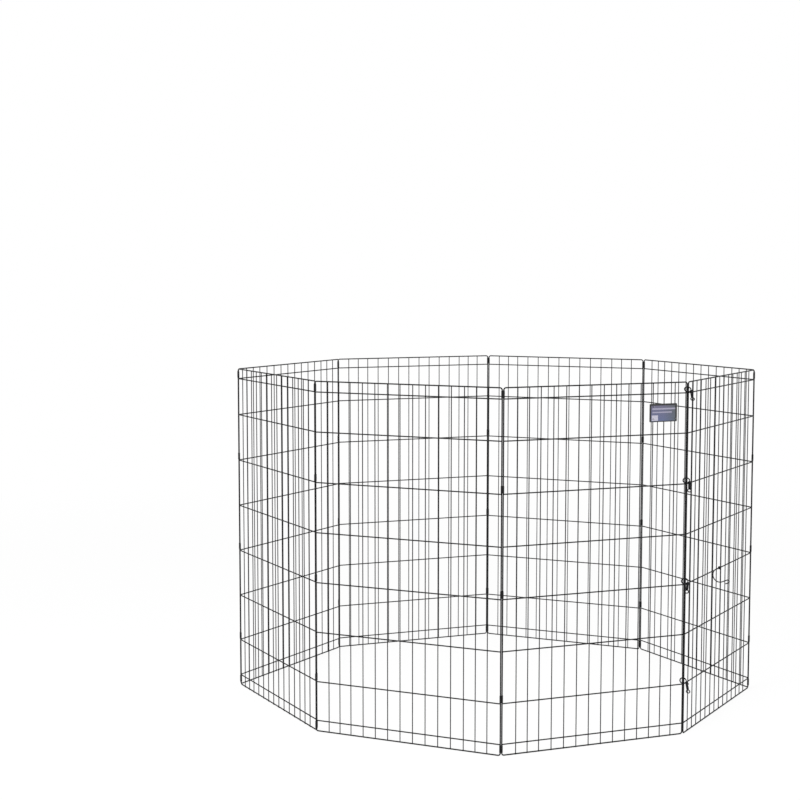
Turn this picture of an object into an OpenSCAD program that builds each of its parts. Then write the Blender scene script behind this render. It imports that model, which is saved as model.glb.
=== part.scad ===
// Folding wire pet playpen: eight welded wire panels hinged by sheet clips
// into a ring, closed at one corner by four swivel bolt snaps.
// Millimetres, +Z up, origin on the floor at the middle of the ring.

/* [Panels] */
// Height of a panel over its frame wire
panel_h = 1066.8; // [762:0.1:1219.2]
// Distance from one hinge line to the next
panel_pitch = 600; // [560:1:620]
// Diameter of the bent frame wire
frame_d = 4; // [3.6:0.1:4.2]
// Diameter of the crosswires
cross_d = 3.7; // [3:0.1:3.7]
// Diameter of the uprights
upright_d = 2.9; // [2.2:0.1:3]
// Centre-line radius of the frame's corner bends
bend_r = 7; // [6:0.5:9]
// Bays between the evenly spaced crosswires
bay_n = 7; // [5:1:8]
// From the top or bottom frame wire to the crosswire beside it
end_gap = 32; // [30:1:40]
// From a side wire to the first upright
first_gap = 42.4; // [38:0.1:46]
// Between the first, second and third uprights at each side
edge_gap = 36.7; // [32:0.1:42]
// Evenly spaced gaps in the middle of a panel
middle_gap_n = 9; // [9:2:9]
// How deep the uprights are welded into the crosswires
weld_set = 0.3; // [0.1:0.05:0.5]

/* [Ring as it stands] */
// Angle of the front and back panels to the X axis
end_angle = 22.5; // [15:0.5:25]
// Angle of the side panels to the X axis
side_angle = 60; // [56:0.5:64]
// Between the two side wires of the snapped corner, centre to centre
corner_gap = 5.6; // [5:0.1:6]

/* [Hinge clips] */
// Between the two side wires that a clip holds, centre to centre
clip_pitch = 5.2; // [5.2:0.1:6]
// Angle of a clip to the panel that carries it, towards the side that it folds to
clip_kick = 50; // [48:1:55]
// Thickness of the clip's steel strip
clip_t = 0.8; // [0.6:0.1:1]
// Height of a clip
clip_h = 21; // [16:1:22]
// Radial play of a wire in its clip
clip_play = 0.09; // [0.05:0.01:0.1]
// Width of the seam where the strip's ends meet
clip_seam = 0.7; // [0.4:0.1:1.2]

/* [Bolt snaps] */
// Mean radius of the hook's loop
loop_r = 9.4; // [9.3:0.1:10]
// Radius of the hook's round section
hook_r = 1.8; // [1.5:0.1:2]
// Radius of the barrel
barrel_r = 3.9; // [3.7:0.1:4.2]
// Length of the barrel
barrel_l = 24; // [22:1:26]
// Radius of the sliding bolt
bolt_r = 1.5; // [1.3:0.1:1.6]
// Travel of the bolt
bolt_travel = 5; // [4.5:0.5:5]
// Tilt of the loop out of the horizontal
snap_tilt = 46; // [40:1:46]
// Height of the loop's middle over the crosswire that it sits on
snap_lift = 10; // [10:0.5:14]

/* [Wire hook] */
// Radius of the hook's wire
hanger_r = 1.65; // [1.5:0.05:1.7]
// Radius of the hook's bow
bow_r = 22; // [18:1:24]
// Length of the hook's straight lower arm
arm_l = 18; // [12:1:22]

/* [Label card] */
// Width of the card
card_w = 92; // [70:1:95]
// Height of the card
card_h = 54; // [40:1:60]
// Thickness of the card
card_t = 0.8; // [0.5:0.1:1]
// Height of the card's lower edge over the floor
card_z = 950; // [930:1:960]

/* [Hidden] */
PANELS = [
    "panel_front_right", "panel_front_left", "panel_left_front", "panel_left_back",
    "panel_back_left", "panel_back_right", "panel_right_back", "panel_gate"
];
HINGES = [
    "clips_front", "clips_front_left", "clips_left", "clips_back_left",
    "clips_back", "clips_back_right", "clips_right"
];
SNAPS = ["snap_top", "snap_upper", "snap_lower", "snap_bottom"];
SNAP_PARTS = ["hook", "bolt", "spring", "eye"];

$fn = 48;
coat = "#1c1d1f";
zinc = "#8d9094";
brass_tone = "#6f6c66";

// Panels: distances in the panel's own plane
frame_r = frame_d / 2;
wire_span = panel_pitch - clip_pitch;
wire_height = panel_h - frame_d;
middle_gap = (wire_span - 2 * first_gap - 4 * edge_gap) / middle_gap_n;
upright_x = concat(
    [for (i = [0:2]) first_gap + i * edge_gap],
    [for (i = [1:middle_gap_n - 1]) first_gap + 2 * edge_gap + i * middle_gap],
    [for (i = [2:-1:0]) wire_span - first_gap - i * edge_gap]
);
cross_z = concat(
    [frame_r + end_gap],
    [for (i = [1:bay_n - 1]) frame_r + i * wire_height / bay_n],
    [panel_h - frame_r - end_gap]
);
lap = (cross_d + upright_d) / 2 - weld_set;
cross_sink = 0.35;
upright_end = 0.6;

// Ring: headings of the panels, walked clockwise from the snapped corner
root_panel = 3;
fold_side = [1, -1, 1, -1, 1, -1, 1];
set_heading = [
    180 + end_angle, 180 - end_angle, 180 - side_angle, side_angle, end_angle, -end_angle
];
corner_heading = (end_angle + side_angle) / 2 - 180;
function toward(a) = [cos(a), sin(a)];
function heading_to(v) = atan2(v.y, v.x);
function clip_heading(h, i) =
    i < root_panel ? h[i + 1] + fold_side[i] * clip_kick : h[i] - fold_side[i] * clip_kick;
function walk(h, i) =
    i == 0
        ? [0, 0]
        : walk(h, i - 1) + toward(h[i - 1]) * wire_span + toward(clip_heading(h, i - 1)) * clip_pitch;

// Ring: the last two panels close it as two links, a panel with its clip and a panel
reach = -corner_gap * toward(corner_heading) - walk(set_heading, len(set_heading));
link = [wire_span + clip_pitch * cos(clip_kick), -clip_pitch * sin(clip_kick)];
link_turn = acos((link * link + reach * reach - wire_span * wire_span) / (2 * norm(link) * norm(reach)));
link_heading = heading_to(reach) + link_turn;
heading = concat(
    set_heading,
    [link_heading - heading_to(link), heading_to(reach - norm(link) * toward(link_heading))]
);
ring_points = [
    for (i = [0:len(PANELS) - 1], along = [0, wire_span]) walk(heading, i) + along * toward(heading[i])
];
ring_x = [for (p = ring_points) p.x];
ring_y = [for (p = ring_points) p.y];
ring_middle = [max(ring_x) + min(ring_x), max(ring_y) + min(ring_y)] / 2;
function start_of(i) = walk(heading, i) - ring_middle;
function end_of(i) = start_of(i) + toward(heading[i]) * wire_span;

// Hinge clips
clip_r = frame_r + clip_play;
clip_gap = 1.2;
clip_z = concat(
    [frame_r + bend_r + clip_gap],
    [for (i = [1, 3, 5]) cross_z[i] + cross_d / 2 + clip_gap],
    [panel_h - frame_r - bend_r - clip_gap - clip_h]
);

// Bolt snaps, each in its own frame: loop in XY, barrel along -Y
corner = (start_of(0) + end_of(7)) / 2;
snap_yaw = [-38, -50, -56, -36];
snap_cross = [7, 5, 3, 1];
slide_play = 0.1;
tip_angle = 10;
root_angle = 312;
barrel_top = -4.6;
guide_l = 5;
floor_l = 2;
chamber_r = 2.8;
collar_l = 3;
collar_gap = 0.3;
stem_r = 1.2;
knob_r = 2.3;
knob_t = 1.8;
head_l = 1.5;
eye_r = 5.2;
eye_wire_r = 1.6;
eye_drop = 1.2;
barrel_end = barrel_top - barrel_l;
chamber_top = barrel_top - guide_l;
chamber_end = barrel_end + floor_l;
collar_top = chamber_top - collar_gap;
collar_end = collar_top - collar_l;
knob_y = collar_top - collar_l / 2;
head_top = chamber_end + 0.2 + head_l;
eye_y = barrel_end - eye_drop - eye_wire_r - eye_r;
bolt_tip = loop_r * sin(tip_angle) - hook_r * sin(tip_angle) - 0.3;

// Spring under the bolt's collar
spring_wire = 0.5;
spring_r = 2.1;
spring_turns = 5;
spring_rings = 8;
spring_sides = 6;
spring_seat = 0.15;
spring_top = collar_end - spring_seat - spring_wire / 2;
spring_end = head_top + spring_seat + spring_wire / 2;
spring_n = spring_turns * spring_rings;
spring_path = [
    for (i = [0:spring_n])
        [
            spring_r * cos(360 * i / spring_rings),
            spring_end + (spring_top - spring_end) * i / spring_n,
            spring_r * sin(360 * i / spring_rings)
        ]
];
spring_self_gap = min([
    for (i = [0:spring_n], j = [0:spring_n])
        if (j - i > spring_rings / 2) norm(spring_path[i] - spring_path[j]) - spring_wire
]);
echo(spring_self_gap = spring_self_gap);

// Wire hook, hung from a crosswire in the middle of the gate panel
hanger_cross = 3;
hanger_play = 0.1;
hanger_eye_r = cross_d / 2 + hanger_play + hanger_r;
hang_tilt = 24;
shank_l = 9;
tip_r = 4.7;
return_l = 10;

// Label card
card_x = 36.5;
card_round = 3;
tie_r = 3.2;
tie_wire = 0.5;
tie_hole = 1.1;
card_lift = lap + upright_d / 2 + 0.1;
tie_z = [card_z + 9, card_z + card_h - 9];
tie_uprights = [0, 2];

// Straight wire between two points
module wire(from, to, d) {
    run = to - from;
    length = norm(run);
    translate(from)
        rotate([0, acos(run.z / length), atan2(run.y, run.x)])
            cylinder(d = d, h = length);
}

// Quarter bend of the frame wire in the XZ plane, at one corner
module frame_bend(x, z, turn) {
    translate([x, 0, z])
        rotate([90, 0, 0])
            rotate([0, 0, turn])
                rotate_extrude(angle = 90)
                    translate([bend_r, 0])
                        circle(d = frame_d);
}

// One wire bent round the panel, with its ends butt-welded
module panel_frame() {
    low = frame_r + bend_r;
    high = panel_h - frame_r - bend_r;
    for (x = [0, wire_span]) wire([x, 0, low], [x, 0, high], frame_d);
    for (z = [frame_r, panel_h - frame_r]) wire([bend_r, 0, z], [wire_span - bend_r, 0, z], frame_d);
    frame_bend(bend_r, low, 180);
    frame_bend(wire_span - bend_r, low, 270);
    frame_bend(wire_span - bend_r, high, 0);
    frame_bend(bend_r, high, 90);
}

// A welded panel: bent frame, crosswires in its plane, uprights lapped on one face
module panel(i) {
    face = i % 2 == 0 ? 1 : -1;
    butt = frame_r - cross_sink;
    color(coat)
        translate(start_of(i))
            rotate([0, 0, heading[i]]) {
                panel_frame();
                for (z = cross_z) wire([butt, 0, z], [wire_span - butt, 0, z], cross_d);
                for (x = upright_x)
                    wire([x, face * lap, upright_end], [x, face * lap, panel_h - upright_end], upright_d);
            }
}

// One strip of steel rolled round both side wires, its seam to the inside
module hinge_clip() {
    leaf = (clip_pitch - clip_seam) / 2;
    for (s = [-1, 1])
        translate([s * clip_pitch / 2, 0, 0])
            rotate([0, 0, -s * 90])
                rotate_extrude(angle = 180)
                    translate([clip_r, 0])
                        square([clip_t, clip_h]);
    translate([-clip_pitch / 2, clip_r, 0]) cube([clip_pitch, clip_t, clip_h]);
    for (x = [-clip_pitch / 2, clip_pitch / 2 - leaf])
        translate([x, -clip_r - clip_t, 0]) cube([leaf, clip_t, clip_h]);
}

// The clips of one hinge line
module hinge_clips(i) {
    color(coat)
        translate((end_of(i) + start_of(i + 1)) / 2)
            rotate([0, 0, clip_heading(heading, i)])
                for (z = clip_z) translate([0, 0, z]) hinge_clip();
}

// Puts a snap's pieces where its loop hangs round the corner's two wires
module at_snap(i) {
    translate([corner.x, corner.y, cross_z[snap_cross[i]] + snap_lift])
        rotate([0, 0, corner_heading + 180 + snap_yaw[i]])
            rotate([snap_tilt, 0, 0])
                children();
}

// Cylinder along the barrel's axis, from one level down to another
module barrel_bar(top, bottom, r) {
    translate([loop_r, top, 0])
        rotate([90, 0, 0])
            cylinder(r = r, h = top - bottom);
}

// Cast body: loop of the hook, barrel with its bore, and the thumb slot
module snap_hook(i) {
    slot_w = 2 * stem_r + 0.6;
    slot_top = knob_y + slot_w / 2;
    slot_end = knob_y - bolt_travel - slot_w / 2;
    color(zinc)
        at_snap(i)
            difference() {
                union() {
                    rotate([0, 0, tip_angle])
                        rotate_extrude(angle = root_angle - tip_angle)
                            translate([loop_r, 0])
                                circle(hook_r);
                    barrel_bar(barrel_top, barrel_end, barrel_r);
                }
                barrel_bar(barrel_top + hook_r + 1, chamber_top - 1, bolt_r + slide_play);
                barrel_bar(chamber_top, chamber_end, chamber_r);
                barrel_bar(chamber_end + 1, barrel_end - 1, bolt_r + slide_play);
                translate([loop_r, slot_end, -slot_w / 2])
                    cube([barrel_r + 1, slot_top - slot_end, slot_w]);
            }
}

// Sliding bolt with its collar and thumb knob
module snap_bolt(i) {
    color(zinc)
        at_snap(i) {
            barrel_bar(bolt_tip, knob_y, bolt_r);
            barrel_bar(collar_top, collar_end, chamber_r - slide_play);
            translate([loop_r + bolt_r / 2, knob_y, 0])
                rotate([0, 90, 0])
                    cylinder(r = stem_r, h = barrel_r + 1.2 - bolt_r / 2);
            translate([loop_r + barrel_r + 0.6, knob_y, 0])
                rotate([0, 90, 0])
                    cylinder(r1 = knob_r, r2 = knob_r - 0.5, h = knob_t);
        }
}

// Compression spring: one six-sided tube swept along a helix
module snap_spring(i) {
    ring = function (k) let (a = 360 * k / spring_rings)
        [
            for (s = [0:spring_sides - 1])
                let (b = 360 * s / spring_sides)
                    spring_path[k]
                        + spring_wire / 2 * [cos(b) * cos(a), sin(b), cos(b) * sin(a)]
        ];
    points = [for (k = [0:spring_n]) each ring(k)];
    function at(k, s) = k * spring_sides + s % spring_sides;
    walls = [
        for (k = [0:spring_n - 1], s = [0:spring_sides - 1])
            each [
                [at(k, s), at(k + 1, s), at(k + 1, s + 1)],
                [at(k, s), at(k + 1, s + 1), at(k, s + 1)]
            ]
    ];
    first_cap = [for (s = [1:spring_sides - 2]) [at(0, 0), at(0, s), at(0, s + 1)]];
    last_cap = [
        for (s = [1:spring_sides - 2])
            [at(spring_n, 0), at(spring_n, s + 1), at(spring_n, s)]
    ];
    color(brass_tone)
        at_snap(i)
            translate([loop_r, 0, 0])
                polyhedron(points, concat(walls, first_cap, last_cap));
}

// Swivel eye: rivet head inside the barrel, stem and ring
module snap_eye(i) {
    color(zinc)
        at_snap(i) {
            barrel_bar(head_top, head_top - head_l, chamber_r - 0.3);
            barrel_bar(head_top - head_l / 2, eye_y + eye_r, bolt_r);
            translate([loop_r, eye_y, 0])
                rotate_extrude()
                    translate([eye_r, 0])
                        circle(eye_wire_r);
        }
}

// Arc of the hook's wire in the plane across the crosswire
module hanger_arc(y, z, r, from, to) {
    translate([0, y, z])
        rotate([90, 0, 90])
            rotate([0, 0, from])
                rotate_extrude(angle = to - from)
                    translate([r, 0])
                        circle(hanger_r);
}

// Bent wire hook that swings on a crosswire of the gate panel
module wire_hook() {
    arm_y = arm_l - shank_l;
    return_z = -2 * bow_r - 2 * tip_r;
    color(coat)
        translate(start_of(7))
            rotate([0, 0, heading[7]])
                translate([wire_span / 2, 0, cross_z[hanger_cross]])
                    rotate([hang_tilt, 0, 0]) {
                        rotate([0, 90, 0])
                            rotate_extrude()
                                translate([hanger_eye_r, 0])
                                    circle(hanger_r);
                        wire([0, -hanger_eye_r, 0], [0, -shank_l, 0], 2 * hanger_r);
                        hanger_arc(-shank_l, -bow_r, bow_r, 90, 270);
                        wire([0, -shank_l, -2 * bow_r], [0, arm_y, -2 * bow_r], 2 * hanger_r);
                        hanger_arc(arm_y, -2 * bow_r - tip_r, tip_r, -90, 90);
                        wire([0, arm_y - return_l, return_z], [0, arm_y, return_z], 2 * hanger_r);
                    }
}

// Puts a piece in the frame of the front right panel
module at_card() {
    translate(start_of(0)) rotate([0, 0, heading[0]]) children();
}

// Plain card with rounded corners, tied to the outside of the uprights
module label_card() {
    color("#4d55a8")
        at_card()
            translate([card_x, card_lift + card_t, card_z])
                rotate([90, 0, 0])
                    difference() {
                        linear_extrude(card_t) {
                            translate([card_round, 0]) square([card_w - 2 * card_round, card_h]);
                            translate([0, card_round]) square([card_w, card_h - 2 * card_round]);
                            for (x = [card_round, card_w - card_round])
                                for (y = [card_round, card_h - card_round])
                                    translate([x, y]) circle(card_round);
                        }
                        for (u = tie_uprights, z = tie_z, s = [-1, 1])
                            translate([upright_x[u] - card_x + s * 2.6, z - card_z, -1])
                                cylinder(r = tie_hole, h = card_t + 2);
                    }
}

// Wire rings that tie the card to the uprights
module label_ties() {
    color(coat)
        at_card()
            for (u = tie_uprights, z = tie_z)
                translate([upright_x[u], lap, z])
                    rotate_extrude()
                        translate([tie_r, 0])
                            circle(tie_wire);
}

for (i = [0:len(PANELS) - 1]) panel(i);
for (i = [0:len(HINGES) - 1]) hinge_clips(i);
for (i = [0:len(SNAPS) - 1]) {
    snap_hook(i);
    snap_bolt(i);
    snap_spring(i);
    snap_eye(i);
}
wire_hook();
label_card();
label_ties();
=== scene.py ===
import math

import bpy
import numpy as np
from bpy.props import FloatProperty, FloatVectorProperty, IntProperty, PointerProperty
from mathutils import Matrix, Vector


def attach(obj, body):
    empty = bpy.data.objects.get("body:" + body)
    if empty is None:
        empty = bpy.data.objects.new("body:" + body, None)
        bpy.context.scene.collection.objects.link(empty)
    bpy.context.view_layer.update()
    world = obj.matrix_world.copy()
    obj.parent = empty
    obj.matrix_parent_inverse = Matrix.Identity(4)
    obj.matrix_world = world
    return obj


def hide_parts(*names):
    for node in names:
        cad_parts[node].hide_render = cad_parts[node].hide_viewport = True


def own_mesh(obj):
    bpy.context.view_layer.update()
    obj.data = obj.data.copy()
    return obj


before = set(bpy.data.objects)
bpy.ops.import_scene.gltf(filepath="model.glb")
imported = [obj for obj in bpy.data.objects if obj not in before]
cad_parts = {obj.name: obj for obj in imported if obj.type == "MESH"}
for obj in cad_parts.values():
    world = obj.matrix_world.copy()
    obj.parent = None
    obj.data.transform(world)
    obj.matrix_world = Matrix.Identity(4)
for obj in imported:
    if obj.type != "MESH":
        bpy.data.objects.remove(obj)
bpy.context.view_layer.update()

bl_info = {
    "name": "Folding wire playpen",
    "version": (1, 0, 0),
    "blender": (4, 5, 0),
    "location": "View3D > Sidebar > Playpen",
    "description": "Dresses the packed playpen with smooth wires, welds, clips, snaps and a card",
    "category": "Object",
}

MM = 0.001
# Edges bent more than this stay sharp
SHARP = math.radians(40)
# Panels in order round the ring, the hinge lines between them and the panel that carries each line
PANELS = (
    "panel_front_right", "panel_front_left", "panel_left_front", "panel_left_back",
    "panel_back_left", "panel_back_right", "panel_right_back", "panel_gate",
)
HINGES = (
    "clips_front", "clips_front_left", "clips_left", "clips_back_left",
    "clips_back", "clips_back_right", "clips_right",
)
CARRIERS = PANELS[1:4] + PANELS[3:7]
# Crosswires under the three middle clips of a hinge line
CLIP_CROSS = (1, 3, 5)
# Snaps from the top down, the turn of each at its corner in degrees and the crosswire under it
SNAPS = ("snap_top", "snap_upper", "snap_lower", "snap_bottom")
SNAP_YAW = (-38, -50, -56, -36)
SNAP_CROSS = (7, 5, 3, 1)
# How far a bolt slides against its spring
END_BACK = np.array([0, 0.225, 0.4, 0.5])
END_WIDE = np.array([0.44, 0.926, 0.991, 1])
# Part of the frame wire's radius at which an upright is welded to it
END_TOUCH = 0.8
# Fields of the card's print: left, right, low and high as parts of its half width and half height
CARD_PRINT = (-0.88, 0.88, -0.9, 0.8)
CARD_FIELD = (-0.84, -0.38, -0.86, -0.26)
CARD_BANDS = ((-0.8, 0.86, 0.34, 0.52), (-0.8, 0.62, -0.02, 0.12))
# Parts of the card's thickness between which its bare back ends and its print begins
CARD_SIDES = (0.4, 0.6)
# Lamps: name, place, size and part of the key's power, and the point that they face
LAMPS = (("key", (-2.6, -3.4, 4.2), 3.2, 1.0), ("fill", (3.4, -2.4, 3.0), 2.6, 0.4))
LAMP_AIM = (0, 0, 0.5)


def length(name, description, default):
    """A length property with its default in metres"""
    return FloatProperty(
        name=name, description=description, default=default, unit="LENGTH", precision=5
    )


def angle(name, description, default):
    """An angle property with its default in degrees"""
    return FloatProperty(
        name=name, description=description, default=math.radians(default), subtype="ANGLE"
    )


def extent(name, description, default):
    """Three lengths with their defaults in millimetres"""
    return FloatVectorProperty(
        name=name, description=description, default=[v * MM for v in default], size=3,
        unit="LENGTH", precision=5,
    )


def colour(name, description, default):
    """A linear colour property"""
    return FloatVectorProperty(
        name=name, description=description, default=default, size=3, subtype="COLOR", min=0, max=1
    )


def factor(name, description, default):
    """A number from 0 to 1"""
    return FloatProperty(
        name=name, description=description, default=default, min=0, max=1, subtype="FACTOR"
    )


class PenPanelSizes(bpy.types.PropertyGroup):
    """Sizes of a wire panel"""

    height: length("Height", "Over the frame wire", 1066.8 * MM)
    pitch: length("Pitch", "From one hinge line to the next", 600 * MM)
    frame_d: length("Frame wire", "Diameter of the bent frame wire", 4 * MM)
    cross_d: length("Crosswire", "Diameter of a crosswire", 3.7 * MM)
    upright_d: length("Upright", "Diameter of an upright", 2.9 * MM)
    bend_r: length("Corner bend", "Centre-line radius of the frame's corners", 7 * MM)
    end_gap: length("End gap", "From the top or bottom wire to the next crosswire", 32 * MM)
    first_gap: length("First gap", "From a side wire to the first upright", 42.4 * MM)
    edge_gap: length("Edge gap", "Between the first three uprights", 36.7 * MM)
    weld_set: length("Weld set", "How deep an upright is welded into a crosswire", 0.3 * MM)
    upright_end: length("Upright end", "How far an upright stops short of the outline", 0.6 * MM)
    bead: extent("Weld bead", "Half sizes of the bead under an upright", (1.75, 0.95, 1.75))
    side_bead: extent("Side bead", "Half sizes of the bead at a crosswire's end", (1.15, 2.05, 2.05))
    butt_bead: extent("Butt bead", "Half sizes of the bead that closes the frame wire", (1.1, 2.15, 2.15))
    butt_place: factor("Butt place", "Of the butt weld along the bottom wire", 0.37)
    cross_end: factor("Crosswire end", "Part of the frame wire's radius that a crosswire stops short", 0.6)
    bays: IntProperty(name="Bays", description="Between the even crosswires", default=7)
    middle_gaps: IntProperty(name="Middle gaps", description="Even gaps in the middle", default=9)


class PenRingSizes(bpy.types.PropertyGroup):
    """How the ring stands"""

    end_angle: angle("End angle", "Front and back panels to the X axis", 22.5)
    side_angle: angle("Side angle", "Side panels to the X axis", 60)
    corner_gap: length("Corner gap", "Between the side wires of the snapped corner", 5.6 * MM)


class PenClipSizes(bpy.types.PropertyGroup):
    """Sizes of a rolled hinge clip"""

    pitch: length("Wire pitch", "Between the two wires in a clip", 5.2 * MM)
    kick: angle("Kick", "Angle of a clip to the panel that carries it", 50)
    thickness: length("Thickness", "Of the rolled strip", 0.8 * MM)
    height: length("Height", "Of a clip", 21 * MM)
    play: length("Play", "Radial gap round a wire", 0.09 * MM)
    seam: length("Seam", "Gap between the strip's ends", 0.7 * MM)
    gap: length("Gap", "Between a clip and the wire below it", 1.2 * MM)
    edge_r: length("Edge", "Rounding of the strip's edges", 0.2 * MM)


class PenSnapSizes(bpy.types.PropertyGroup):
    """Sizes of a bolt snap, each in its own frame with the barrel along -Y"""

    loop_r: length("Loop", "Mean radius of the loop", 9.4 * MM)
    tilt: angle("Tilt", "Of the loop out of the horizontal", 46)
    lift: length("Lift", "Of the loop's middle over its crosswire", 10 * MM)
    spring_top: length("Spring top", "Level of the spring's upper end", -13.3 * MM)
    spring_end: length("Spring end", "Level of the spring's lower end", -24.5 * MM)
    spring_r: length("Spring radius", "Of the coil", 2.1 * MM)
    spring_wire: length("Spring wire", "Diameter of the spring's wire", 0.5 * MM)
    spring_turns: IntProperty(name="Turns", description="Curls of the spring", default=5)


class PenCardSizes(bpy.types.PropertyGroup):
    """Sizes and colours of the label card"""

    width: length("Width", "Of the card", 92 * MM)
    height: length("Height", "Of the card", 54 * MM)
    thickness: length("Thickness", "Of the card", 0.8 * MM)
    gap: length("Gap", "Between the uprights and the card", 0.1 * MM)
    z: length("Level", "Of the card's lower edge", 950 * MM)
    x: length("Place", "Of the card's edge from the side wire", 36.5 * MM)
    upper: colour("Upper tone", "Of the print", (0.115, 0.105, 0.155))
    lower: colour("Lower tone", "Of the print", (0.090, 0.110, 0.205))
    border: colour("Border", "Round the print", (0.022, 0.022, 0.022))
    field: colour("Field", "Bare field of the print", (0.40, 0.39, 0.46))
    band: colour("Band", "Bare bands of the print", (0.27, 0.26, 0.34))
    side: colour("Side tone", "Of the print's right side", (0.065, 0.080, 0.070))
    back: colour("Back", "Bare board of the card's back", (0.34, 0.33, 0.31))


class PenFinish(bpy.types.PropertyGroup):
    """Colours of the metal"""

    coat: colour("Coat", "Black coating of the wires", (0.0045, 0.0045, 0.005))
    coat_light: colour("Thin coat", "Where the coating is thin", (0.009, 0.009, 0.0095))
    zinc: colour("Snap metal", "Plated casting of the snaps", (0.008, 0.008, 0.009))
    zinc_light: colour("Snap wear", "Where the plating is rubbed", (0.05, 0.05, 0.053))
    steel: colour("Spring steel", "Bright wire", (0.42, 0.41, 0.39))


class PenStage(bpy.types.PropertyGroup):
    """Camera, floor and light"""

    yaw: angle("Yaw", "Of the view from +Y towards +X", -1.678)
    pitch: angle("Pitch", "Of the view below the horizon", 5.072)
    distance: length("Distance", "From the camera to the aim", 5.221)
    lens: FloatProperty(name="Lens", description="Focal length", default=71.08, unit="CAMERA")
    sensor: FloatProperty(name="Sensor", description="Width of the sensor", default=36, unit="CAMERA")
    aim: FloatVectorProperty(
        name="Aim", description="Point in the middle of the view", size=3,
        default=(-0.3135, 0, 0.963), subtype="TRANSLATION", unit="LENGTH",
    )
    floor: colour("Floor", "Pale floor", (0.86, 0.86, 0.86))
    floor_shade: factor("Floor shade", "How far shadows darken the seen floor", 0.13)
    floor_glow: factor("Floor glow", "Part of the seen floor that takes no shadow", 0.875)
    floor_near: length("Floor near", "Radius within which the floor is plain", 1.6)
    floor_far: length("Floor far", "Radius beyond which the floor is as white as the surroundings", 5)
    daylight: FloatProperty(name="Daylight", description="Light of the surroundings", default=0.75)
    key: FloatProperty(name="Key", description="Power of the key lamp", default=190, unit="POWER")


class PenSettings(bpy.types.PropertyGroup):
    """Everything a user would change"""

    panel: PointerProperty(type=PenPanelSizes)
    ring: PointerProperty(type=PenRingSizes)
    clip: PointerProperty(type=PenClipSizes)
    snap: PointerProperty(type=PenSnapSizes)
    card: PointerProperty(type=PenCardSizes)
    finish: PointerProperty(type=PenFinish)
    stage: PointerProperty(type=PenStage)


# Surfaces

def grid_faces(rows, columns, closed=False):
    """Quads of a rows by columns grid of points, where each row is a ring and a closed grid joins its last
    row to its first"""
    i = np.arange(rows if closed else rows - 1)[:, None]
    j = np.arange(columns)[None, :]
    down, right = (i + 1) % rows, (j + 1) % columns
    quads = [i * columns + j, i * columns + right, down * columns + right, down * columns + j]
    return np.stack(np.broadcast_arrays(*quads), -1).reshape(-1, 4)


def end_caps(rows, columns):
    """Flat faces over the first and the last row of a grid"""
    row = np.arange(columns)
    return np.stack([row[::-1], row + (rows - 1) * columns])


def copies(faces, count, size):
    """Faces of count copies of a surface that has size points"""
    shift = np.arange(count)[:, None, None] * size
    return [(group[None] + shift).reshape(-1, group.shape[1]) for group in faces]


def circle(radius, sides):
    """Round profile: radius times (cos a, sin a) for a from 0 to a full turn"""
    a = np.linspace(0, 2 * np.pi, sides, endpoint=False)
    return radius * np.stack([np.cos(a), np.sin(a)], 1)


def unit(v):
    """Vectors scaled to length one"""
    return v / np.linalg.norm(v, axis=-1, keepdims=True)


def sweep(path, profile, up, closed=False):
    """Profile (p, q) carried along a path: point = path + p side + q over, where side is the tangent
    crossed with up, and over is side crossed with the tangent"""
    path = np.asarray(path, float)
    if closed:
        tangent = unit(np.roll(path, -1, 0) - np.roll(path, 1, 0))
    else:
        tangent = unit(np.gradient(path, axis=0))
    side = unit(np.cross(tangent, up))
    over = np.cross(side, tangent)
    p, q = profile[:, 0], profile[:, 1]
    points = path[:, None] + p[None, :, None] * side[:, None] + q[None, :, None] * over[:, None]
    rows, columns = len(path), len(profile)
    faces = [grid_faces(rows, columns, closed)]
    if not closed:
        faces.append(end_caps(rows, columns))
    return points.reshape(-1, 3), faces


def straight_wires(start, end, radius, sides=14):
    """Round wires between rows of points: point = middle + w (radius cos a side + radius sin a over), with
    rings of width w set back from each end as the eased, cut ends need"""
    start, end = np.atleast_2d(start), np.atleast_2d(end)
    along = unit(end - start)
    steep = np.abs(along[:, 2:]) > 0.9
    side = unit(np.cross(along, np.where(steep, [[1.0, 0, 0]], [[0, 0, 1.0]])))
    over = np.cross(side, along)
    back = END_BACK[:, None] * radius
    middle = np.concatenate([start[:, None] + back * along[:, None],
                             end[:, None] - back[::-1] * along[:, None]], 1)
    wide = np.concatenate([END_WIDE, END_WIDE[::-1]])
    ring = circle(radius, sides)
    around = ring[:, 0, None] * side[:, None] + ring[:, 1, None] * over[:, None]
    points = middle[:, :, None] + wide[None, :, None, None] * around[:, None]
    rows = len(wide)
    faces = [grid_faces(rows, sides), end_caps(rows, sides)]
    return points.reshape(-1, 3), copies(faces, len(start), rows * sides)


def beads(middles, size, sides=8, rings=5):
    """Small weld beads: ellipsoids (a cos v cos u, b cos v sin u, c sin v) round each middle"""
    u = np.linspace(0, 2 * np.pi, sides, endpoint=False)
    v = np.linspace(-np.pi / 2, np.pi / 2, rings + 2)[1:-1]
    ball = np.stack([np.cos(v)[:, None] * np.cos(u), np.cos(v)[:, None] * np.sin(u),
                     np.repeat(np.sin(v)[:, None], sides, 1)], -1).reshape(-1, 3)
    middles = np.atleast_2d(middles)
    points = middles[:, None] + (ball * size)[None]
    faces = [grid_faces(rings, sides), end_caps(rings, sides)]
    return points.reshape(-1, 3), copies(faces, len(middles), len(ball))


def arc(middle, radius, start, end, count):
    """Points of an arc in a plane: middle + radius (cos a, sin a)"""
    a = np.linspace(start, end, count)
    return np.asarray(middle) + radius * np.stack([np.cos(a), np.sin(a)], 1)


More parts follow.
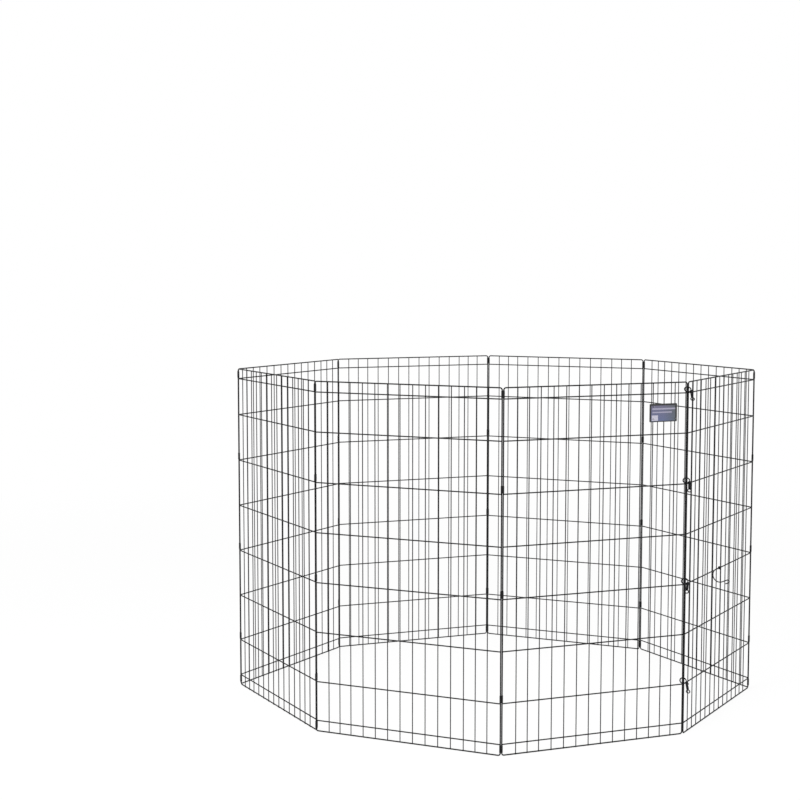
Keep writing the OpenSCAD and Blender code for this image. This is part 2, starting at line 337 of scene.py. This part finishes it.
def rounded_box(left, right, low, high, radius, count):
    """Outline of a box with round corners: a quarter arc round the middle of each corner"""
    middles = ((right, high), (left, high), (left, low), (right, low))
    turns = np.arange(5) * np.pi / 2
    return np.concatenate([arc(m, radius, turns[k], turns[k + 1], count) for k, m in enumerate(middles)])


def joined(parts):
    """Several surfaces, each its points and faces, as one"""
    points, faces, base = [], [], 0
    for part, groups in parts:
        points.append(part)
        faces += [group + base for group in groups]
        base += len(part)
    return np.concatenate(points), faces


def turn_z(points, heading, origin):
    """Points turned about Z by a heading and moved to an origin on the floor"""
    c, s = math.cos(heading), math.sin(heading)
    turned = points @ np.array([[c, s, 0], [-s, c, 0], [0, 0, 1]])
    return turned + np.array([origin[0], origin[1], 0])


def crossings(x, y, z):
    """Points at every pair of an x and a z, all at one y"""
    x, z = (values.ravel() for values in np.meshgrid(x, z))
    return np.stack([x, np.full_like(x, y), z], 1)


def make_piece(name, points, faces, material, body, node):
    """One mesh object at the origin, smooth but for sharp edges, riding on its body in place of a node"""
    mesh = bpy.data.meshes.new(name)
    mesh.from_pydata(points.tolist(), [], [face for group in faces for face in group.tolist()])
    mesh.shade_smooth()
    mesh.set_sharp_from_angle(angle=SHARP)
    mesh.materials.append(material)
    obj = bpy.data.objects.new(name, mesh)
    bpy.context.scene.collection.objects.link(obj)
    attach(obj, body)
    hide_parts(node)
    return obj


def finish_node(name, material):
    """Gives a solid of the part its finish"""
    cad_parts[name].material_slots[0].material = material


# The pen's plan, from the same sizes as its solids

class Plan:
    """Where every side wire, crosswire and upright stands"""

    def __init__(self, settings):
        p, c, r = settings.panel, settings.clip, settings.ring
        self.span = p.pitch - c.pitch
        a, b = r.end_angle, r.side_angle
        kick = c.kick * np.array([1, -1, 1, -1, 1, -1, 1])
        known = np.array([np.pi + a, np.pi - a, np.pi - b, b, a, -a])
        self.corner_heading = (a + b) / 2 - np.pi
        self.heading = np.append(known, self.closing(known, kick, c, r))
        self.clip_heading = self.carried(self.heading, kick)
        panel_step = self.span * self.toward(self.heading)
        walk = np.cumsum(panel_step[:-1] + c.pitch * self.toward(self.clip_heading), 0)
        start = np.concatenate([np.zeros((1, 2)), walk])
        both = np.concatenate([start, start + panel_step])
        self.start = start - (both.max(0) + both.min(0)) / 2
        self.end = self.start + panel_step
        wire_height = p.height - p.frame_d
        even = p.frame_d / 2 + np.arange(1, p.bays) * wire_height / p.bays
        self.cross_z = np.concatenate(
            [[p.frame_d / 2 + p.end_gap], even, [p.height - p.frame_d / 2 - p.end_gap]]
        )
        edge = p.first_gap + np.arange(3) * p.edge_gap
        middle = (self.span - 2 * edge[-1]) / p.middle_gaps
        self.upright_x = np.concatenate(
            [edge, edge[-1] + np.arange(1, p.middle_gaps) * middle, (self.span - edge)[::-1]]
        )
        self.lap = (p.cross_d + p.upright_d) / 2 - p.weld_set
        self.corner = (self.start[0] + self.end[7]) / 2

    def closing(self, known, kick, c, r):
        """Headings of the last two panels, which close the ring as two links: a panel with its clip, and
        a panel"""
        steps = self.span * self.toward(known) + c.pitch * self.toward(self.carried(known, kick))
        reach = -r.corner_gap * self.toward(self.corner_heading) - steps.sum(0)
        link = np.array([self.span + c.pitch * np.cos(c.kick), -c.pitch * np.sin(c.kick)])
        near, far = np.linalg.norm(link), np.linalg.norm(reach)
        turn = np.arccos((near ** 2 + far ** 2 - self.span ** 2) / (2 * near * far))
        first = np.arctan2(reach[1], reach[0]) + turn
        last = reach - near * self.toward(first)
        return first - np.arctan2(link[1], link[0]), np.arctan2(last[1], last[0])

    @staticmethod
    def carried(heading, kick):
        """Headings of the clips between the given panels, each kicked from the panel that carries it"""
        return np.append(heading[1:4] + kick[:3], heading[3:7] - kick[3:][:len(heading[3:7])])

    @staticmethod
    def toward(heading):
        """Plan direction of a heading"""
        return np.stack([np.cos(heading), np.sin(heading)], -1)


# Finishes

def new_material(name):
    """Material with its node tree and its principled shader"""
    material = bpy.data.materials.new(name)
    material.use_nodes = True
    tree = material.node_tree
    return material, tree, tree.nodes["Principled BSDF"]


def feed(tree, socket, source):
    """A socket linked to another one, or set to a tone or a value"""
    if isinstance(source, bpy.types.NodeSocket):
        tree.links.new(source, socket)
    else:
        socket.default_value = (*source, 1) if socket.type == "RGBA" else source


def fill(tree, node, feeds):
    """What feeds the sockets of a node, by name or number"""
    for key, source in feeds.items():
        feed(tree, node.inputs[key], source)


def add(tree, kind, feeds, **settings):
    """A new node with its settings and what feeds its sockets"""
    node = tree.nodes.new(kind)
    for key, value in settings.items():
        setattr(node, key, value)
    fill(tree, node, feeds)
    return node


def object_place(tree):
    """Object coordinates"""
    return add(tree, "ShaderNodeTexCoord", {}).outputs["Object"]


def speckle(tree, scale, detail=3):
    """Noise on Object coordinates, with scale in cells per metre"""
    feeds = {"Vector": object_place(tree), "Scale": scale, "Detail": detail, "Roughness": 0.6}
    return add(tree, "ShaderNodeTexNoise", feeds).outputs["Fac"]


def spread(tree, source, low, high, start=0.35, end=0.65):
    """Source taken from start..end to low..high"""
    feeds = {"Value": source, "From Min": start, "From Max": end, "To Min": low, "To Max": high}
    return add(tree, "ShaderNodeMapRange", feeds).outputs["Result"]


def blend(tree, mask, first, second):
    """Colour from the first to the second as the mask goes from 0 to 1, each a tone or a socket"""
    mix = add(tree, "ShaderNodeMix", {"Factor": mask}, data_type="RGBA")
    for socket, tone in zip((s for s in mix.inputs if s.type == "RGBA"), (first, second)):
        feed(tree, socket, tone)
    return next(s for s in mix.outputs if s.type == "RGBA")


def bump(tree, source, distance, strength):
    """Normals of a small relief"""
    feeds = {"Height": source, "Distance": distance, "Strength": strength}
    return add(tree, "ShaderNodeBump", feeds).outputs["Normal"]


def coat_material(finish):
    """Satin black coating: thin and thick patches, soft orange peel, uneven gloss"""
    material, tree, shader = new_material("black_coat")
    thin = spread(tree, speckle(tree, 60, detail=4), 0, 1)
    fill(tree, shader, {
        "Base Color": blend(tree, thin, finish.coat, finish.coat_light),
        "Roughness": spread(tree, speckle(tree, 240), low=0.4, high=0.58),
        "Specular IOR Level": 0.13,
        "Normal": bump(tree, speckle(tree, 1300, detail=2), distance=0.08 * MM, strength=0.35),
    })
    return material


def snap_material(finish):
    """Dark plated casting, rubbed brighter in small patches"""
    material, tree, shader = new_material("snap_plating")
    rubbed = spread(tree, speckle(tree, 420, detail=4), 0, 1, start=0.52, end=0.72)
    fill(tree, shader, {
        "Base Color": blend(tree, rubbed, finish.zinc, finish.zinc_light),
        "Roughness": spread(tree, speckle(tree, 900), low=0.28, high=0.5),
        "Metallic": 0.85,
        "Specular Tint": (0.45, 0.45, 0.46),
        "Normal": bump(tree, speckle(tree, 2200, detail=2), distance=0.05 * MM, strength=0.3),
    })
    return material


def spring_material(finish):
    """Bright drawn wire with fine streaks"""
    material, tree, shader = new_material("spring_wire")
    streaks = spread(tree, speckle(tree, 2600), low=0.65, high=1)
    darker = [0.7 * v for v in finish.steel]
    fill(tree, shader, {
        "Base Color": blend(tree, streaks, darker, finish.steel),
        "Roughness": spread(tree, speckle(tree, 1500), low=0.2, high=0.36),
        "Metallic": 1,
    })
    return material


# Operators

class PEN_OT_panels(bpy.types.Operator):
    """Makes the eight welded panels: frame, crosswires, uprights and weld beads"""

    bl_idname = "pen.panels"
    bl_label = "Wire panels"

    def execute(self, context):
        settings = context.scene.pen
        plan, p = Plan(settings), settings.panel
        material = coat_material(settings.finish)
        for i, name in enumerate(PANELS):
            face = 1 if i % 2 == 0 else -1
            points, faces = joined(self.parts(p, plan, face))
            points = turn_z(points, plan.heading[i], plan.start[i])
            make_piece(name + "_wires", points, faces, material, name, name)
        return {"FINISHED"}

    def parts(self, p, plan, face):
        """Parts of one panel in its own frame: X along it, +Y outside, Z up"""
        frame_r, cross_r, upright_r = p.frame_d / 2, p.cross_d / 2, p.upright_d / 2
        bend = frame_r + p.bend_r
        outline = rounded_box(p.bend_r, plan.span - p.bend_r, bend, p.height - bend, p.bend_r, count=9)
        path = np.stack([outline[:, 0], 0 * outline[:, 0], outline[:, 1]], 1)
        yield sweep(path, circle(frame_r, sides=16), up=(0, 1, 0), closed=True)
        x, z = plan.upright_x, plan.cross_z
        left = p.cross_end * frame_r
        yield straight_wires(crossings(left, 0, z), crossings(plan.span - left, 0, z), cross_r)
        lap, low, high = face * plan.lap, p.upright_end, p.height - p.upright_end
        yield straight_wires(crossings(x, lap, low), crossings(x, lap, high), upright_r, sides=12)
        bead = np.array(p.bead)
        yield beads(crossings(x, face * (cross_r - p.weld_set / 2), z), bead)
        yield beads(crossings(x, face * END_TOUCH * frame_r, [frame_r, p.height - frame_r]), bead)
        yield beads(crossings([frame_r, plan.span - frame_r], 0, z), np.array(p.side_bead))
        yield beads([plan.span * p.butt_place, 0, frame_r], np.array(p.butt_bead), sides=14)


class PEN_OT_clips(bpy.types.Operator):
    """Makes the rolled hinge clips, one set for each hinge line"""

    bl_idname = "pen.clips"
    bl_label = "Hinge clips"

    def execute(self, context):
        settings = context.scene.pen
        plan, p, c = Plan(settings), settings.panel, settings.clip
        material = bpy.data.materials["black_coat"]
        frame_r = p.frame_d / 2
        levels = [frame_r + p.bend_r + c.gap]
        levels += [plan.cross_z[k] + p.cross_d / 2 + c.gap for k in CLIP_CROSS]
        levels += [p.height - frame_r - p.bend_r - c.gap - c.height]
        clip = self.clip(c, frame_r)
        for i, (name, body) in enumerate(zip(HINGES, CARRIERS)):
            middle = (plan.end[i] + plan.start[i + 1]) / 2
            points, faces = joined([(clip[0] + np.array([0, 0, z]), clip[1]) for z in levels])
            points = turn_z(points, plan.clip_heading[i], middle)
            make_piece(name + "_rolled", points, faces, material, body, name)
        return {"FINISHED"}

    def clip(self, c, frame_r):
        """Rounded strip section carried from the seam round one wire, across, round the other and back"""
        r = frame_r + c.play + c.thickness / 2
        half, seam = c.pitch / 2, c.seam / 2
        quarter, count = np.pi / 2, 15
        line = np.concatenate([
            [[-seam, -r]],
            arc((-half, 0), r, -quarter, -3 * quarter, count),
            arc((half, 0), r, quarter, -quarter, count),
            [[seam, -r]],
        ])
        path = np.stack([line[:, 0], line[:, 1], 0 * line[:, 0]], 1)
        inset = c.thickness / 2 - c.edge_r
        section = rounded_box(-inset, inset, c.edge_r, c.height - c.edge_r, c.edge_r, count=4)
        return sweep(path, section, up=(0, 0, 1))


def snap_place(settings, plan, i):
    """Turn and middle of a snap's loop: tilted about its own X, then turned from the corner's line"""
    s = settings.snap
    yaw = math.radians(SNAP_YAW[i]) + plan.corner_heading + np.pi
    level = plan.cross_z[SNAP_CROSS[i]] + s.lift
    ct, st, cy, sy = np.cos(s.tilt), np.sin(s.tilt), np.cos(yaw), np.sin(yaw)
    tilt = np.array([[1, 0, 0], [0, ct, -st], [0, st, ct]])
    turn = np.array([[cy, -sy, 0], [sy, cy, 0], [0, 0, 1]])
    return turn @ tilt, np.array([*plan.corner, level])


class PEN_OT_snaps(bpy.types.Operator):
    """Finishes the bolt snaps and winds their springs"""

    bl_idname = "pen.snaps"
    bl_label = "Bolt snaps"

    def execute(self, context):
        settings = context.scene.pen
        plan, s = Plan(settings), settings.snap
        plating = snap_material(settings.finish)
        steel = spring_material(settings.finish)
        for i, name in enumerate(SNAPS):
            for part in ("_hook", "_bolt", "_eye"):
                finish_node(name + part, plating)
            turn, middle = snap_place(settings, plan, i)
            points, faces = self.spring(s)
            points = points @ turn.T + middle
            spring = make_piece(name + "_spring_wire", points, faces, steel, name + "_hook",
                                name + "_spring")
            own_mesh(spring)
        return {"FINISHED"}

    def spring(self, s):
        """Round wire along a helix about the barrel's axis: (r cos a, rise, r sin a), 24 steps to a turn"""
        count = 24 * s.spring_turns + 1
        a = np.linspace(0, 2 * np.pi * s.spring_turns, count)
        rise = np.linspace(s.spring_end, s.spring_top, count)
        path = np.stack([s.loop_r + s.spring_r * np.cos(a), rise, s.spring_r * np.sin(a)], 1)
        return sweep(path, circle(s.spring_wire / 2, sides=10), up=(0, 1, 0))


class PEN_OT_wire_hook(bpy.types.Operator):
    """Finishes the bent wire hook on the gate"""

    bl_idname = "pen.wire_hook"
    bl_label = "Wire hook"

    def execute(self, context):
        finish_node("wire_hook", bpy.data.materials["black_coat"])
        return {"FINISHED"}


class PEN_OT_card(bpy.types.Operator):
    """Finishes the blank label card and its ties"""

    bl_idname = "pen.card"
    bl_label = "Label card"

    def execute(self, context):
        finish_node("label_ties", bpy.data.materials["black_coat"])
        finish_node("label_card", self.material(context.scene.pen))
        return {"FINISHED"}

    def material(self, settings):
        """Gloss print in two blue tones with a dark border, bare bands and a bare field, on a bare board"""
        card, plan = settings.card, Plan(settings)
        material, tree, shader = new_material("card_print")
        heading = plan.heading[0]
        middle = plan.start[0] + plan.toward(heading) * (card.x + card.width / 2)
        feeds = {0: object_place(tree), 1: (*middle, card.z + card.height / 2)}
        place = add(tree, "ShaderNodeVectorMath", feeds, operation="SUBTRACT").outputs["Vector"]
        across = self.measure(tree, place, (*-plan.toward(heading), 0))
        depth = self.measure(tree, place, (*plan.toward(heading + np.pi / 2), 0))
        rise = self.measure(tree, place, (0, 0, 1))
        half = card.width / 2, card.height / 2
        sinking = spread(tree, rise, 0, 1, start=half[1], end=-half[1])
        tone = blend(tree, sinking, card.upper, card.lower)
        aside = spread(tree, across, low=0, high=0.8, start=0, end=half[0])
        tone = blend(tree, aside, tone, card.side)
        for band in CARD_BANDS:
            tone = blend(tree, self.field(tree, across, rise, half, band), tone, card.band)
        tone = blend(tree, self.field(tree, across, rise, half, CARD_FIELD), tone, card.field)
        tone = blend(tree, self.field(tree, across, rise, half, CARD_PRINT), card.border, tone)
        inner = plan.lap + settings.panel.upright_d / 2 + card.gap
        outside = spread(tree, depth, 0, 1, *(inner + part * card.thickness for part in CARD_SIDES))
        fill(tree, shader, {
            "Base Color": blend(tree, outside, card.back, tone),
            "Roughness": spread(tree, speckle(tree, 500), low=0.24, high=0.36),
            "Specular IOR Level": 0.3,
            "Coat Weight": 0.1,
            "Coat Roughness": 0.12,
        })
        return material

    def measure(self, tree, place, direction):
        """How far a place lies along a direction"""
        feeds = {0: place, 1: direction}
        return add(tree, "ShaderNodeVectorMath", feeds, operation="DOT_PRODUCT").outputs["Value"]

    def field(self, tree, across, rise, half, parts):
        """1 inside an upright rectangle of the card, with soft edges"""
        left, right, low, high = np.multiply(parts, np.repeat(half, 2))
        soft = 0.3 * MM
        edges = [spread(tree, value, 0, 1, start, start + step) for value, start, step in (
            (across, left, soft), (across, right, -soft), (rise, low, soft), (rise, high, -soft))]
        made = edges[0]
        for edge in edges[1:]:
            made = add(tree, "ShaderNodeMath", {0: made, 1: edge}, operation="MULTIPLY").outputs[0]
        return made


class PEN_OT_stage(bpy.types.Operator):
    """Sets the camera, the pale floor and the soft light"""

    bl_idname = "pen.stage"
    bl_label = "Stage"

    def execute(self, context):
        scene, s = context.scene, context.scene.pen.stage
        scene.view_settings.view_transform = "Standard"
        self.camera(scene, s)
        self.floor(scene, s)
        self.lamps(scene, s)
        self.world(scene, s)
        return {"FINISHED"}

    def camera(self, scene, s):
        """Camera at distance from its aim, looking along yaw and pitch"""
        level = math.cos(s.pitch)
        look = Vector((math.sin(s.yaw) * level, math.cos(s.yaw) * level, -math.sin(s.pitch)))
        data = bpy.data.cameras.new("pen_camera")
        data.lens, data.sensor_width = s.lens, s.sensor
        camera = bpy.data.objects.new("pen_camera", data)
        camera.location = Vector(s.aim) - look * s.distance
        camera.rotation_mode = "QUATERNION"
        camera.rotation_quaternion = look.to_track_quat("-Z", "Y")
        scene.collection.objects.link(camera)
        scene.camera = camera

    def seen(self, tree):
        """1 for camera, glossy and transmission rays"""
        path = add(tree, "ShaderNodeLightPath", {}).outputs
        made = path["Is Camera Ray"]
        for kind in ("Is Glossy Ray", "Is Transmission Ray"):
            made = add(tree, "ShaderNodeMath", {0: made, 1: path[kind]}, operation="MAXIMUM").outputs[0]
        return made

    def floor(self, scene, s):
        """Flat pale floor whose lit colour meets the white surroundings"""
        reach, sides = 40.0, 64
        points = np.column_stack([circle(reach, sides), np.zeros(sides)])
        mesh = bpy.data.meshes.new("floor")
        mesh.from_pydata(points.tolist(), [], [list(range(sides))])
        material, tree, shader = new_material("pale_floor")
        tree.nodes.remove(shader)
        matt = add(tree, "ShaderNodeBsdfDiffuse", {"Color": s.floor}).outputs[0]
        shaded = [s.floor_shade * v for v in s.floor]
        thin = add(tree, "ShaderNodeBsdfDiffuse", {"Color": shaded}).outputs[0]
        glow = add(tree, "ShaderNodeEmission", {"Strength": s.floor_glow}).outputs[0]
        near = add(tree, "ShaderNodeAddShader", {0: thin, 1: glow}).outputs[0]
        white = add(tree, "ShaderNodeEmission", {}).outputs[0]
        feeds = {0: object_place(tree)}
        radius = add(tree, "ShaderNodeVectorMath", feeds, operation="LENGTH").outputs["Value"]
        away = spread(tree, radius, 0, 1, s.floor_near, s.floor_far)
        shown = add(tree, "ShaderNodeMixShader", {0: away, 1: near, 2: white}).outputs[0]
        mixed = add(tree, "ShaderNodeMixShader", {0: self.seen(tree), 1: matt, 2: shown}).outputs[0]
        fill(tree, tree.nodes["Material Output"], {"Surface": mixed})
        mesh.materials.append(material)
        floor = bpy.data.objects.new("floor", mesh)
        scene.collection.objects.link(floor)

    def lamps(self, scene, s):
        """Wide key from the upper left and a weaker fill from the right"""
        for name, place, size, part in LAMPS:
            data = bpy.data.lights.new(name, "AREA")
            data.size, data.energy = size, part * s.key
            lamp = bpy.data.objects.new(name, data)
            lamp.location = place
            lamp.rotation_mode = "QUATERNION"
            lamp.rotation_quaternion = (Vector(LAMP_AIM) - Vector(place)).to_track_quat("-Z", "Y")
            scene.collection.objects.link(lamp)

    def world(self, scene, s):
        """White where it is seen, plain daylight where it lights"""
        world = bpy.data.worlds.new("surroundings")
        world.use_nodes = True
        tree = world.node_tree
        fill(tree, tree.nodes["Background"], {
            "Color": (1, 1, 1),
            "Strength": spread(tree, self.seen(tree), s.daylight, 1, start=0, end=1),
        })
        scene.world = world


class PEN_PT_sidebar(bpy.types.Panel):
    """Lists the pen's operators"""

    bl_idname = "PEN_PT_sidebar"
    bl_label = "Playpen"
    bl_space_type = "VIEW_3D"
    bl_region_type = "UI"
    bl_category = "Playpen"

    def draw(self, context):
        for operator in OPERATORS:
            self.layout.operator(operator.bl_idname)


GROUPS = (
    PenPanelSizes, PenRingSizes, PenClipSizes, PenSnapSizes, PenCardSizes, PenFinish, PenStage,
    PenSettings,
)
OPERATORS = (
    PEN_OT_panels, PEN_OT_clips, PEN_OT_snaps, PEN_OT_wire_hook, PEN_OT_card, PEN_OT_stage,
)


def register():
    """Adds the classes and the scene's settings"""
    for cls in (*GROUPS, *OPERATORS, PEN_PT_sidebar):
        bpy.utils.register_class(cls)
    bpy.types.Scene.pen = PointerProperty(type=PenSettings)


def unregister():
    """Takes the settings and the classes away again"""
    del bpy.types.Scene.pen
    for cls in reversed((*GROUPS, *OPERATORS, PEN_PT_sidebar)):
        bpy.utils.unregister_class(cls)


def main():
    """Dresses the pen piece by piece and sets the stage"""
    register()
    bpy.ops.pen.panels()
    bpy.ops.pen.clips()
    bpy.ops.pen.snaps()
    bpy.ops.pen.wire_hook()
    bpy.ops.pen.card()
    bpy.ops.pen.stage()


if __name__ == "__main__":
    main()
